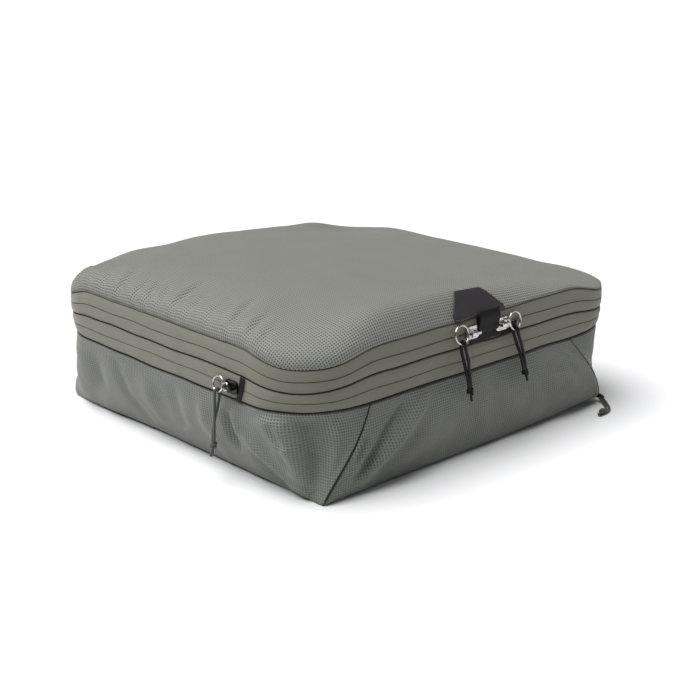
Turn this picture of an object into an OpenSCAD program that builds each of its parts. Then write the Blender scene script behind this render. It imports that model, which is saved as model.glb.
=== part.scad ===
// Expandable packing cube: a soft rectangular travel bag with a crowned lid,
// a main zip under the lid and a second, compression zip below it.
// Origin: centre of the base on the floor. +X along the long front, -Y to the front, +Z up.
// Millimetres throughout.

/* [Body] */
// Length of the cube along its zipped front
cube_w = 340; // [310:2:360]
// Depth of the cube from front to back
cube_d = 304; // [280:2:330]
// Plan radius of the rounded corners at the zips
corner_r = 46; // [40:1:54]
// Length of the flat base panel on the floor
base_w = 300; // [280:2:320]
// Depth of the flat base panel on the floor
base_d = 302; // [270:2:320]
// Thickness of the fabric panels as modelled
panel_t = 1.6; // [1:0.1:2.4]
// How far the front and back walls belly out at half height
wall_bulge = 6; // [2:0.5:8]

/* [Seams and zips] */
// Height of the seam between the walls and the zips, at the corners
lower_seam_z = 64.8; // [60:0.2:68]
// Height of the seam between the two zips, at the corners
middle_seam_z = 79.3; // [78:0.1:82]
// Height of the seam under the top panel, at the corners
top_seam_z = 95.2; // [94:0.1:98]
// Thickness of the zip tapes
tape_t = 1; // [0.8:0.1:1.2]
// Gap between the two halves of each zip
zip_gap = 1.2; // [1.2:0.1:1.6]
// How far the piped seams stand proud of the tapes
piping_proud = 0.9; // [0.5:0.1:1]

/* [Lid] */
// Height of the crown of the lid above its seam
crown_h = 23; // [12:1:28]
// Length of the black tab along the front seam
tab_w = 52; // [40:1:60]
// Distance that the tab reaches up the lid
tab_reach = 22; // [16:1:26]
// Width of the strap that hangs between the two main sliders
strap_w = 17; // [12:1:17]

/* [Sliders and pulls] */
// Length of a zip slider along its track
slider_l = 12.5; // [11:0.5:13]
// Height of a zip slider across its track
slider_h = 9.5; // [8:0.5:10]
// Radius of a main pull's ring to the middle of its wire
ring_r = 6.6; // [6:0.1:7]
// Radius of the compression pull's ring to the middle of its wire
small_ring_r = 5.4; // [5:0.1:6]
// Diameter of a pull's wire
ring_wire = 1.6; // [1.4:0.1:1.7]
// Diameter of the pull cords and of the corner loop
cord_d = 2; // [1.6:0.1:2.2]

/* [Hidden] */

sage = [0.42, 0.43, 0.37];
tape_green = [0.40, 0.40, 0.33];
seam_dark = [0.20, 0.20, 0.17];
black_trim = [0.10, 0.10, 0.10];
bright_metal = [0.70, 0.70, 0.70];
dark_metal = [0.22, 0.21, 0.20];
cord_dark = [0.13, 0.13, 0.13];
cord_sage = [0.30, 0.31, 0.25];

$fn = 32;
half_w = cube_w / 2;
half_d = cube_d / 2;
corner_steps = 8;                    // segments round each rounded corner
dart_x = 106.5;                       // where each corner seam meets the zip band
dart_half = 1;                       // half width of a corner seam
side_flat = 94;                      // half length of the level middle of the front
end_flat = 91;                       // half length of the level middle of each end
base_cut = 1;                        // small cut across each corner of the base
wall_rows = 6;                       // rows of facets up a wall

// Rise of each seam from the corners to the middle of a side, and its outset.
lower_rise = -1.4;
middle_rise = 4.6;
top_rise = 8.5;
lower_out = -0.5;
middle_out = 1.6;
top_out = 2.1;
front_bow = 1;                       // how much of the rise each side shows
left_bow = 1;
right_bow = 0.15;
back_bow = 1.2;
side_level = 0.6;                    // level share of the front and back
end_level = 0.66;                    // level share of the two ends
compression_z = (lower_seam_z + middle_seam_z) / 2;
compression_rise = (lower_rise + middle_rise) / 2;
compression_out = 1;
main_z = (middle_seam_z + top_seam_z) / 2;
main_rise = (middle_rise + top_rise) / 2;
main_out = 2.2;
piping_half = 1;                     // half height of the piped seams
tape_inset = [tape_t, tape_t];
piping_inset = [panel_t, panel_t];
coil_w = 2.2;                        // height of one half of a coil
coil_depth = 2;
coil_skin = 0.05;                    // clearance between a coil and its tape
coil_slant = 0.7;                    // a lower tape leans in by this over its coil
gusset_t = 1;
gusset_in = 5;                       // the folded gusset lies this far inside the seams

main_front_z = main_z + main_rise * front_bow;   // level stretches of the zips
main_rear_z = main_z + main_rise * back_bow;
compression_side_z = compression_z + compression_rise * left_bow;

function mix(a, b, t) = a + (b - a) * t;
function unit2(v) = v / norm(v);

// Cosine ramp: 1 on the level middle of a side, falling to 0 at the corners.
function ramp(u, level) = u < level ? 1 : u > 1 ? 0 : 0.5 + 0.5 * cos(180 * (u - level) / (1 - level));
function rise_at(x, y) = max(
    abs(y) > half_d - corner_r - 0.01
        ? ramp(abs(x) / (half_w - 0.3 * corner_r), side_level) * (y < 0 ? front_bow : back_bow) : 0,
    abs(x) > half_w - corner_r - 0.01
        ? ramp(abs(y) / (half_d - 0.3 * corner_r), end_level) * (x < 0 ? left_bow : right_bow) : 0
);

// Sections round the cube, anticlockwise from the front-left corner seam.
// Each is [x, y, outward x, outward y, rise].
function corner_sections(sx, sy, from) = [
    for (k = [0:corner_steps])
        let (a = from + 90 * k / corner_steps,
             x = sx * (half_w - corner_r) + corner_r * cos(a),
             y = sy * (half_d - corner_r) + corner_r * sin(a))
        [x, y, cos(a), sin(a), rise_at(x, y)]
];
front_stops = [
    -dart_x - dart_half, -dart_x + dart_half, -side_flat, -side_flat / 2, 0,
    side_flat / 2, side_flat, dart_x - dart_half, dart_x + dart_half
];
end_stops = [-end_flat, -end_flat / 2, 0, end_flat / 2, end_flat];
sections = concat(
    [for (x = front_stops) [x, -half_d, 0, -1, rise_at(x, -half_d)]],
    corner_sections(1, -1, -90),
    [for (y = end_stops) [half_w, y, 1, 0, rise_at(half_w, y)]],
    corner_sections(1, 1, 0),
    [for (x = front_stops) [-x, half_d, 0, 1, rise_at(x, half_d)]],
    corner_sections(-1, 1, 90),
    [for (y = end_stops) [-half_w, -y, -1, 0, rise_at(-half_w, y)]],
    corner_sections(-1, -1, 180)
);
count = len(sections);
function section(i) = sections[(i + count) % count];
function step_length(i) = norm([section(i + 1).x - section(i).x, section(i + 1).y - section(i).y]);
distance_to = [for (i = 0, a = 0; i <= count; a = a + step_length(i), i = i + 1) a];

// First and last section of each wall panel, and its two base corners.
front_first = 1;
front_last = 7;
right_first = 8;
right_last = 32;
back_first = 33;
back_last = 39;
left_first = 40;
left_last = count;
rear_flat_first = 34;                // the level rear stretch, where the hinge strip is
rear_flat_last = 38;
bx = base_w / 2;
by = base_d / 2;
panels = [
    [front_first, front_last, [-bx + base_cut, -by], [bx - base_cut, -by]],
    [right_first, right_last, [bx, -by + base_cut], [bx, by - base_cut]],
    [back_first, back_last, [bx - base_cut, by], [-bx + base_cut, by]],
    [left_first, left_last, [-bx, by - base_cut], [-bx, -by + base_cut]]
];
function panel_of(i) = [for (p = panels) if (i >= p[0] && i <= p[1]) p][0];
function base_point(i) =
    let (k = i == 0 ? count : i, p = panel_of(k),
         t = (distance_to[k] - distance_to[p[0]]) / (distance_to[p[1]] - distance_to[p[0]]))
    mix(p[2], p[3], t);

// A point of a wall: row 0 on the base panel, row wall_rows under the lower seam.
function wall_point(i, row, inset) =
    let (s = section(i), b = base_point(i % count), t = row / wall_rows,
         base_dir = unit2([pow(b.x / bx, 5), pow(b.y / by, 5)]),
         out_dir = unit2(mix(base_dir, [s[2], s[3]], t)),
         top = [s.x + s[2] * lower_out, s.y + s[3] * lower_out],
         top_z = lower_seam_z + lower_rise * s[4] - piping_half,
         inward = mix(-b / bx, -[s[2], s[3]], t) * inset,
         flat = mix(b, top, t) + out_dir * wall_bulge * sin(180 * t) + inward)
    [flat.x, flat.y, mix(panel_t, top_z, t)];

// Faces that close a loop of n points from its first point, in strips across it.
function cap(first, n) = [
    for (j = [0:n / 2 - 2])
        each [[first + j, first + j + 1, first + n - 2 - j], [first + j, first + n - 2 - j, first + n - 1 - j]]
];

// Skin a row of closed loops; a closed skin joins its last loop to its first.
module skin(loops, closed = false) {
    n = len(loops[0]);
    m = len(loops);
    last = closed ? m - 1 : m - 2;
    sides = [
        for (i = [0:last], j = [0:n - 1])
            let (a = i * n, b = ((i + 1) % m) * n, k = (j + 1) % n)
            each [[a + j, a + k, b + k], [a + j, b + k, b + j]]
    ];
    start = [for (f = cap(0, n)) [f[2], f[1], f[0]]];
    caps = closed ? [] : concat(start, cap((m - 1) * n, n));
    polyhedron(points = [for (l = loops) each l], faces = concat(sides, caps));
}

// A seam line's point at a section, moved out along the section and up.
function seam_point(i, z, rise, out) =
    let (s = section(i))
    [s.x + s[2] * out, s.y + s[3] * out, z + rise * s[4]];

// A band between two seam lines, each [height, rise, outset]; inset is its depth at each.
module band(low, high, inset, first = 0, last = count) {
    closed = last - first == count;
    skin([
        for (i = [first:closed ? last - 1 : last]) [
            seam_point(i, low[0], low[1], low[2]),
            seam_point(i, high[0], high[1], high[2]),
            seam_point(i, high[0], high[1], high[2] - inset[1]),
            seam_point(i, low[0], low[1], low[2] - inset[0])
        ]
    ], closed);
}
function lower_line(dz, dout = 0) = [lower_seam_z + dz, lower_rise, lower_out + dout];
function compression_line(dz, dout = 0) = [compression_z + dz, compression_rise, compression_out + dout];
function middle_line(dz, dout = 0) = [middle_seam_z + dz, middle_rise, middle_out + dout];
function main_line(dz, dout = 0) = [main_z + dz, main_rise, main_out + dout];
function top_line(dz, dout = 0) = [top_seam_z + dz, top_rise, top_out + dout];

// ---- Base body ----

module base_panel() {
    color(sage)
        linear_extrude(panel_t)
            polygon([for (p = panels) each [p[2], p[3]]]);
}

module wall(first, last) {
    color(sage)
        skin([
            for (i = [first:last])
                concat(
                    [for (row = [0:wall_rows]) wall_point(i, row, 0)],
                    [for (row = [wall_rows:-1:0]) wall_point(i, row, panel_t)]
                )
        ]);
}

// The strips between the walls, which clear them by a small share of their width.
seam_proud = 0.4;
seam_clear = 0.03;
module corner_seams() {
    color(seam_dark)
        for (i = [0, front_last, right_last, back_last])
            skin([
                for (t = [seam_clear, 1 - seam_clear])
                    concat(
                        [for (row = [0:wall_rows]) seam_strip_point(i, row, t, -seam_proud)],
                        [for (row = [wall_rows:-1:0]) seam_strip_point(i, row, t, panel_t)]
                    )
            ]);
}
function seam_strip_point(i, row, t, inset) =
    mix(wall_point(i, row, inset), wall_point(i + 1, row, inset), t);

module lower_seam_piping() {
    color(seam_dark)
        band(lower_line(-piping_half, piping_proud), lower_line(piping_half, piping_proud),
             piping_inset + [piping_proud, piping_proud]);
}

module compression_tape_lower() {
    color(tape_green) band(lower_line(piping_half), compression_line(-zip_gap / 2), tape_inset);
}

module coil_below(line, first = 0, last = count) {
    skin_out = -tape_t - coil_skin;
    low = line - [zip_gap / 2 + coil_w, 0, 0] + [0, 0, skin_out - coil_slant];
    high = line - [zip_gap / 2, 0, 0] + [0, 0, skin_out];
    color(seam_dark) band(low, high, [coil_depth - coil_slant, coil_depth], first, last);
}

module coil_above(line, first = 0, last = count) {
    skin_out = -tape_t - coil_skin;
    low = line + [zip_gap / 2, 0, skin_out];
    high = line + [zip_gap / 2 + coil_w, 0, skin_out];
    color(seam_dark) band(low, high, [coil_depth, coil_depth], first, last);
}

module compression_coil_lower() {
    coil_below(compression_line(0));
}

// ---- Zip band body ----

module compression_tape_upper() {
    color(tape_green) band(compression_line(zip_gap / 2), middle_line(-piping_half), tape_inset);
}

module compression_coil_upper() {
    coil_above(compression_line(0));
}

module middle_seam_piping() {
    color(seam_dark)
        band(middle_line(-piping_half, piping_proud), middle_line(piping_half, piping_proud),
             piping_inset + [piping_proud, piping_proud]);
}

zip_first = rear_flat_last;
zip_last = count + rear_flat_first;

module main_tape_lower() {
    color(tape_green)
        band(middle_line(piping_half), main_line(-zip_gap / 2), tape_inset, zip_first, zip_last);
}

module main_coil_lower() {
    coil_below(main_line(0), zip_first, zip_last);
}

// Fabric strip across the level rear, which the lid folds back on.
module rear_hinge_strip() {
    color(sage)
        band(middle_line(piping_half), top_line(-piping_half - 0.4), tape_inset,
             rear_flat_first, rear_flat_last);
}

// Two metal stops at the rear ends of the main zip.
stop_size = [3, 1.3, 3];
module zip_end_stops() {
    color(bright_metal)
        for (s = [-1, 1])
            translate([s * (side_flat + 3), half_d + main_out + 0.05 + stop_size.y / 2,
                       main_rear_z - zip_gap - stop_size.z / 2])
                cube(stop_size, center = true);
}

// The folded bellows behind the compression zip.
module expansion_gusset() {
    color(sage)
        band(lower_line(piping_half + 0.5, -gusset_in), middle_line(-piping_half - 0.5, -gusset_in),
             [gusset_t, gusset_t]);
}

// Sewn patch on the front of the main zip's lower tape, under the two sliders.
tab_x = 4.5;                         // middle of the strap and patch
tab_shift = -6.7;                    // the tab sits this far beside the strap's middle
strip_x = [-13, 38];
strip_t = 0.5;
strip_low = middle_seam_z + middle_rise + piping_half + 0.2;
strip_high = main_front_z - zip_gap;
strip_y = -(half_d + main_out + 0.05);
module zip_garage_strip() {
    color(black_trim)
        translate([strip_x[0], strip_y - strip_t, strip_low])
            cube([strip_x[1] - strip_x[0], strip_t, strip_high - strip_low]);
}

// ---- Lid body ----

dome_rings = 9;
crown_power = 1.46;                  // roundness of the crown across the lid
crown_edge = 0.39;                   // steepness of the crown at its edge
crown_lean = -0.75;                  // the fill sits higher towards the left end
crown_lift = 5;                      // the middle of the lid starts this far above the corners
rim_hold = 4;                        // how fast the seam's own wave fades towards the middle

function crown(share, x, y) =
    crown_h * pow(1 - pow(share, crown_power), crown_edge) * (1 + crown_lean * x / half_w);
function dome_z(share, rim_z, x, y) =
    let (w = pow(share, rim_hold))
    mix(top_seam_z + crown_lift, rim_z, w) + crown(share, x, y);

// Shares of the way out to the seam, closer together towards the steep edge.
dome_shares = [for (k = [0:dome_rings - 1]) 1 - pow(k / dome_rings, 1.7)];
function dome_point(i, share, depth) =
    let (rim = seam_point(i, top_seam_z + piping_half, top_rise, top_out - depth),
         x = rim.x * share, y = rim.y * share)
    [x, y, dome_z(share, rim.z, x, y) - depth * (1 - pow(share, 8))];

module top_panel() {
    apex = top_seam_z + crown_lift + crown_h;
    outer = [for (s = dome_shares, i = [0:count - 1]) dome_point(i, s, 0)];
    inner = [for (s = dome_shares, i = [0:count - 1]) dome_point(i, s, panel_t)];
    half = len(outer) + 1;
    inner_apex = half + len(inner);
    rings = [
        for (k = [0:dome_rings - 2], i = [0:count - 1])
            let (a = k * count + i, b = k * count + (i + 1) % count, c = a + count, d = b + count)
            each [
                [a, c, d], [a, d, b],
                [half + a, half + d, half + c], [half + a, half + b, half + d]
            ]
    ];
    fans = [
        for (i = [0:count - 1])
            let (a = (dome_rings - 1) * count + i, b = (dome_rings - 1) * count + (i + 1) % count)
            each [[a, half - 1, b], [half + a, half + b, inner_apex]]
    ];
    rim = [
        for (i = [0:count - 1])
            let (j = (i + 1) % count)
            each [[i, j, half + j], [i, half + j, half + i]]
    ];
    color(sage)
        polyhedron(points = concat(outer, [[0, 0, apex]], inner, [[0, 0, apex - panel_t]]),
                   faces = concat(rings, fans, rim));
}

module top_seam_piping() {
    color(seam_dark)
        band(top_line(-piping_half, piping_proud), top_line(piping_half, piping_proud),
             piping_inset + [piping_proud, piping_proud]);
}

module main_tape_upper() {
    color(tape_green)
        band(main_line(zip_gap / 2), top_line(-piping_half), tape_inset, zip_first, zip_last);
}

module main_coil_upper() {
    coil_above(main_line(0), zip_first, zip_last);
}

// The lid's surface at the front, as [y, z] a given distance in from the seam.
rim_y = half_d + top_out;
front_rim_z = top_seam_z + piping_half + top_rise * front_bow;
function lid_front(x, inside) =
    let (share = 1 - inside / rim_y)
    [-rim_y * share, dome_z(share, front_rim_z, x, 0)];
function lid_normal(x, inside) =
    let (a = lid_front(x, max(inside - 0.5, 0)), b = lid_front(x, inside + 0.5), t = unit2(b - a))
    [-t.y, t.x];

tab_t = 1.4;
tab_gap = 0.15;                      // clearance between the tab and the lid
tab_drop = 2;                        // the tab hangs this far below the top of the piping
tab_side = 3;                        // straight part of the tab's two short sides
tab_top_w = 25;                      // length of the tab's upper edge
tab_columns = 12;
tab_rows = 6;

// Reach of the tab up the lid at a distance from its middle.
function tab_top(dx) =
    let (u = (abs(dx) - tab_top_w / 2) / (tab_w / 2 - tab_top_w / 2))
    mix(tab_reach, tab_side, min(max(u, 0), 1));
function tab_row(x, reach, row, depth) =
    let (inside = 0.2 + reach * row / tab_rows,
         p = lid_front(x, inside), n = lid_normal(x, inside),
         out = tab_gap + depth + (row == 0 ? piping_proud : 0))
    [x, p.x + n.x * out, p.y + n.y * out];

module pull_tab() {
    face_y = rim_y + piping_proud + tab_gap;
    low_z = front_rim_z - tab_drop;
    color(black_trim)
        skin([
            for (k = [0:tab_columns])
                let (dx = mix(-tab_w / 2, tab_w / 2, k / tab_columns), x = tab_x + tab_shift + dx,
                     reach = tab_top(dx))
                concat(
                    [[x, -face_y - tab_t, low_z]],
                    [for (r = [0:tab_rows]) tab_row(x, reach, r, tab_t)],
                    [for (r = [tab_rows:-1:0]) tab_row(x, reach, r, 0)],
                    [[x, -face_y, low_z]]
                )
        ]);
}

// Folded webbing loop that hangs from the tab over the closed zip.
strap_t = 3.4;
strap_low = main_front_z - 2.6;
strap_top = front_rim_z - tab_drop - 0.15;
strap_y = -(half_d + main_out + 0.9);
module tab_strap() {
    color(black_trim)
        translate([tab_x - strap_w / 2, strap_y - strap_t / 2, strap_low])
            rotate([90, 0, 90])
                linear_extrude(strap_w) {
                    translate([0, strap_t / 2]) circle(d = strap_t);
                    translate([-strap_t / 2, strap_t / 2])
                        square([strap_t, strap_top - strap_low - strap_t / 2]);
                }
}

// ---- Sliders and their pulls ----
// A slider is drawn with its track along X, its outside towards -Y and its ring towards -X,
// the origin on the tape's outer face at the zip line.

plate_gap = 0.85;                    // outside plate to tape, which clears the garage strip
plate_t = 1.35;
inner_gap = 0.35;
bridge_w = 1.8;
bridge_hole = 3.3;                   // clear height under the bridge
bridge_t = 1;
hinge_u = -1.3;                      // a pull's hinge along the track
hinge_gap = 1.8;                     // a pull's hinge to the outside plate
web_t = 0.5;
plate_y = -(plate_gap + plate_t);
inner_face = tape_t + coil_skin + coil_depth + inner_gap;

module plate_outline() {
    narrow = slider_h * 0.78;
    cut = 2;
    polygon([
        [-slider_l / 2, -narrow / 2], [-slider_l / 2 + cut, -slider_h / 2],
        [slider_l / 2 - cut, -slider_h / 2], [slider_l / 2, -narrow / 2],
        [slider_l / 2, narrow / 2], [slider_l / 2 - cut, slider_h / 2],
        [-slider_l / 2 + cut, slider_h / 2], [-slider_l / 2, narrow / 2]
    ]);
}

module slider_solid() {
    translate([0, -plate_gap, 0]) rotate([90, 0, 0]) linear_extrude(plate_t) plate_outline();
    translate([0, inner_face + plate_t, 0]) rotate([90, 0, 0]) linear_extrude(plate_t) plate_outline();
    translate([slider_l / 2 - 3.5, plate_y + plate_t / 2, -web_t / 2])
        cube([3, inner_face - plate_y, web_t]);
    difference() {
        translate([-4.4, plate_y - bridge_hole - bridge_t, -bridge_w / 2])
            cube([8.6, bridge_hole + bridge_t + 0.2, bridge_w]);
        translate([-3.2, plate_y - bridge_hole, -bridge_w])
            cube([6.2, bridge_hole, 2 * bridge_w]);
    }
}

// A cast pull: a small eye on the bridge and a large ring beside it, raised by lift
// degrees and tilted so that its lower edge stands away from the bag.
eye_r = 2.6;
eye_wire = 1.4;
module pull_solid(radius, tilt, turn, lift) {
    translate([hinge_u, plate_y - hinge_gap, 0])
        rotate([-tilt, 0, 0])
            rotate([0, 0, turn])
                translate([-eye_r, 0, 0])
                    rotate([90, 0, 0]) {
                        rotate_extrude() translate([eye_r, 0]) circle(d = eye_wire);
                        rotate([0, 0, -lift])
                            translate([-(eye_r + radius), 0, 0])
                                rotate_extrude() translate([radius, 0]) circle(d = ring_wire);
                    }
}

// Places a left-hand slider or ring at the start of its track.
slider_x = [-11.25, 20.25];
compression_y = -85;
module at_main_left() {
    translate([slider_x[0], -(half_d + main_out), main_front_z]) children();
}
module at_main_right() {
    translate([slider_x[1], -(half_d + main_out), main_front_z]) mirror([1, 0, 0]) children();
}
module at_compression() {
    translate([-(half_w + compression_out), compression_y, compression_side_z])
        rotate([0, 0, -90]) children();
}

module main_slider_left() {
    color(bright_metal) at_main_left() slider_solid();
}
module main_slider_right() {
    color(bright_metal) at_main_right() slider_solid();
}
module compression_slider() {
    color(dark_metal) at_compression() slider_solid();
}
module main_ring_left() {
    color(bright_metal) at_main_left() pull_solid(ring_r, 12, 0, 8);
}
module main_ring_right() {
    color(bright_metal) at_main_right() pull_solid(ring_r, 10, -5, 0);
}
module compression_ring() {
    color(bright_metal) at_compression() pull_solid(small_ring_r, 12, 0, 0);
}

// ---- Cords ----
// Each route runs up from its knot, over the ring's wire and back down to the knot.

main_left_route = [
    [-20.2, -162, 55], [-20.6, -161.8, 59], [-21.5, -161.2, 64], [-22.4, -160.2, 70],
    [-23.2, -159, 76], [-23.9, -157.9, 81], [-24.2, -157.4, 85.5], [-24.26, -157.3, 88.6],
    [-24.26, -157.9, 90], [-24.26, -159.3, 90.6], [-24.26, -160.75, 90], [-24.26, -161.3, 88.6],
    [-24.1, -161.5, 85.5], [-23, -161.9, 81], [-21.6, -162.1, 76], [-20.7, -162.1, 70],
    [-19.6, -162.1, 64], [-18.6, -162, 59], [-18.1, -162, 55]
];
main_right_route = [
    [40, -161.4, 55], [39.2, -161.2, 59], [38, -160.6, 64], [36.4, -159.6, 70],
    [34.9, -158.2, 76], [33.8, -156.9, 81], [33.35, -156.35, 84.5], [33.31, -156.3, 87.2],
    [33.31, -156.9, 88.6], [33.31, -158.3, 89.2], [33.31, -159.75, 88.6], [33.31, -160.3, 87.2],
    [33.5, -160.55, 84.5], [34.5, -161, 81], [36.4, -161.4, 76], [38.3, -161.5, 70],
    [40.1, -161.5, 64], [41.4, -161.4, 59], [42.2, -161.4, 55]
];
compression_route = [
    [-177, -66.9, 30], [-177, -67.5, 35], [-176.7, -68.3, 41], [-176.2, -69.4, 47],
    [-175.4, -70.8, 53], [-174.7, -72.1, 59], [-174.2, -72.9, 64], [-174.12, -73.1, 68.37],
    [-174.7, -73.1, 69.8], [-176.12, -73.1, 70.4], [-177.55, -73.1, 69.8], [-178.12, -73.1, 68.37],
    [-178.4, -73.1, 64], [-178.4, -72.9, 59], [-178.2, -72.3, 53], [-178, -71.4, 47],
    [-177.8, -70.6, 41], [-177.4, -69.8, 35], [-177.2, -69.1, 30]
];
// The corner loop lies on the floor: out along one strand, round in its knot and back.
loop_route = [
    [149.4, -152, 4], [149.1, -154.9, 3], [147.7, -158, 2], [145.5, -161.4, 1.4],
    [142.9, -164.7, 1.2], [139.8, -167.8, 1.2], [135.9, -170.4, 1.4], [131.4, -172, 1.8],
    [127.2, -172.6, 2.2], [124.9, -171.4, 2.4], [126.9, -170, 2.2], [130.7, -169.6, 1.8],
    [134.6, -168.3, 1.4], [138, -166, 1.2], [140.9, -163.1, 1.2], [143.4, -160.1, 1.4],
    [145.4, -157, 2], [146.7, -154.6, 3], [147, -152, 4]
];

function tangent(route, i) =
    let (a = route[max(i - 1, 0)], b = route[min(i + 1, len(route) - 1)])
    (b - a) / norm(b - a);
function ring_points(centre, along, side) =
    let (u = cross(along, side) / norm(cross(along, side)), v = cross(u, along))
    [for (a = [0:45:315]) centre + (u * cos(a) + v * sin(a)) * cord_d / 2];

// A round tube along a route; side is a direction that the route never runs along.
module cord(route, side) {
    skin([for (i = [0:len(route) - 1]) ring_points(route[i], tangent(route, i), side)]);
}

module main_cord_left() {
    color(cord_dark) cord(main_left_route, [1, 0, 0]);
}
module main_cord_right() {
    color(cord_dark) cord(main_right_route, [1, 0, 0]);
}
module compression_cord() {
    color(cord_sage) cord(compression_route, [0, 1, 0]);
}
module corner_loop() {
    color(cord_sage) cord(loop_route, [0, 0, 1]);
}

// A tied knot: a waisted barrel round both strands, with two cut tails below.
knot_r = 2.5;
knot_h = 5;
tail_l = 8;
module knot(tail_turn, tails = 2) {
    rotate_extrude()
        difference() {
            translate([0, -knot_h / 2]) square([knot_r, knot_h]);
            translate([knot_r + 1.6, 0]) circle(r = 2);
        }
    for (k = [0:tails - 1])
        rotate([0, 0, tail_turn + 180 * k])
            translate([cord_d * 0.55, 0, -knot_h / 2])
                rotate([0, 170, 0])
                    cylinder(d = cord_d, h = tail_l);
}

module main_knot_left() {
    color(cord_dark) translate([-19.15, -162, 52.8]) knot(0, 1);
}
module main_knot_right() {
    color(cord_dark) translate([41.6, -161.4, 52.8]) rotate([0, -15, 0]) knot(0, 1);
}
module compression_knot() {
    color(cord_sage) translate([-177.1, -68, 27.7]) rotate([0, 0, 90]) knot(0);
}
module corner_loop_knot() {
    color(cord_dark) translate([126.4, -171.3, 2.6]) rotate([0, 90, 12]) knot(90);
}

base_panel();
wall(front_first, front_last);  // front_wall
wall(back_first, back_last);  // back_wall
wall(left_first, left_last);  // left_wall
wall(right_first, right_last);  // right_wall
corner_seams();
lower_seam_piping();
compression_tape_lower();
compression_coil_lower();
corner_loop();
corner_loop_knot();
compression_tape_upper();
compression_coil_upper();
middle_seam_piping();
main_tape_lower();
main_coil_lower();
zip_garage_strip();
zip_end_stops();
rear_hinge_strip();
expansion_gusset();
top_panel();
top_seam_piping();
main_tape_upper();
main_coil_upper();
pull_tab();
tab_strap();
main_slider_left();
main_ring_left();
main_cord_left();
main_knot_left();
main_slider_right();
main_ring_right();
main_cord_right();
main_knot_right();
compression_slider();
compression_ring();
compression_cord();
compression_knot();
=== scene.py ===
"""Looks of an expandable packing cube, built round its CAD frame.

+X runs along the front and -Y is forward. Shapes are in millimetres, and MM turns them into metres.
The camera and the materials are in metres.
"""
import math

import bpy
import numpy as np
from mathutils import Matrix, Vector, noise


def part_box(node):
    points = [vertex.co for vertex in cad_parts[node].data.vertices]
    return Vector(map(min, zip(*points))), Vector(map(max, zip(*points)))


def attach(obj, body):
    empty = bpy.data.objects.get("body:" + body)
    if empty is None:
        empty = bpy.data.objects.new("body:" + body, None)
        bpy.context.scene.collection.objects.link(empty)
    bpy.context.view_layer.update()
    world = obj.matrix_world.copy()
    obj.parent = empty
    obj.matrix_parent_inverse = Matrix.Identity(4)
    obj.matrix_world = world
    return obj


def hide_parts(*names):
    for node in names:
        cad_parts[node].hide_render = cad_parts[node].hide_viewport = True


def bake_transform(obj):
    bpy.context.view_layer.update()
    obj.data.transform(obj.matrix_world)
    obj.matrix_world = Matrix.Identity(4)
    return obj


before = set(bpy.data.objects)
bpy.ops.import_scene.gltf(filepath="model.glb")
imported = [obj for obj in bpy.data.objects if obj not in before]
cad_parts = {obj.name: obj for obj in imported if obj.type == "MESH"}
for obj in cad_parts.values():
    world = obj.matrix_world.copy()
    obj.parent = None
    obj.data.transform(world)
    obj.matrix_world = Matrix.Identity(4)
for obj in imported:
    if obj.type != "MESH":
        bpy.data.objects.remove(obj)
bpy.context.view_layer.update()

MM = 0.001

# ---- camera, floor and light


def new_object(name, data):
    piece = bpy.data.objects.new(name, data)
    bpy.context.scene.collection.objects.link(piece)
    return piece


def look_at_camera(position, target, lens, shift_y, roll):
    """A camera at a position that looks at a target, rolled by a small angle."""
    data = bpy.data.cameras.new("camera")
    data.lens = lens
    data.sensor_width = 36
    data.shift_y = shift_y
    data.clip_start = 0.01
    camera = new_object("camera", data)
    turn = (Vector(target) - Vector(position)).to_track_quat("-Z", "Y").to_matrix()
    camera.matrix_world = Matrix.Translation(position) @ (turn @ Matrix.Rotation(roll, 3, "Z")).to_4x4()
    bpy.context.scene.camera = camera


look_at_camera((-0.6753, -0.7523, 0.3698), (0, 0, 0.06), lens=69.87, shift_y=-0.0142,
               roll=math.radians(-0.44))


def sun(name, toward, strength, spread):
    """A distant soft light that shines from the given direction; spread is its apparent size in degrees."""
    data = bpy.data.lights.new(name, "SUN")
    data.energy = strength
    data.angle = math.radians(spread)
    new_object(name, data).rotation_euler = Vector(toward).to_track_quat("Z", "Y").to_euler()


def studio_world(light, seen):
    """White surroundings that light the object softly and look white behind it."""
    world = bpy.data.worlds.new("studio")
    bpy.context.scene.world = world
    world.use_nodes = True
    tree = world.node_tree
    lit = tree.nodes["Background"]
    lit.inputs["Strength"].default_value = light
    lit.inputs["Color"].default_value = (0.96, 0.98, 1.0, 1)
    white = tree.nodes.new("ShaderNodeBackground")
    white.inputs["Strength"].default_value = seen
    white.inputs["Color"].default_value = (1, 1, 1, 1)
    path = tree.nodes.new("ShaderNodeLightPath")
    choose = tree.nodes.new("ShaderNodeMixShader")
    tree.links.new(path.outputs["Is Camera Ray"], choose.inputs[0])
    tree.links.new(lit.outputs[0], choose.inputs[1])
    tree.links.new(white.outputs[0], choose.inputs[2])
    tree.links.new(choose.outputs[0], tree.nodes["World Output"].inputs["Surface"])


sun("key", (-0.35, 0.18, 1.0), 5.05, 52)
sun("fill", (0.95, -0.55, 0.35), 0.24, 20)
studio_world(0.10, 1.0)
bpy.context.scene.view_settings.view_transform = "Standard"

# ---- the seams' plan, as in the CAD model

HALF_W = 170.0
HALF_D = 152.0
CORNER_R = 46.0
BASE_X = 150.0
BASE_Y = 151.0
DART_X = 106.5
WALL_BULGE = 6.0
FRONT_BOW, LEFT_BOW, RIGHT_BOW, BACK_BOW = 1.0, 1.0, 0.15, 1.2
SIDE_LEVEL, END_LEVEL = 0.6, 0.66

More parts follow.
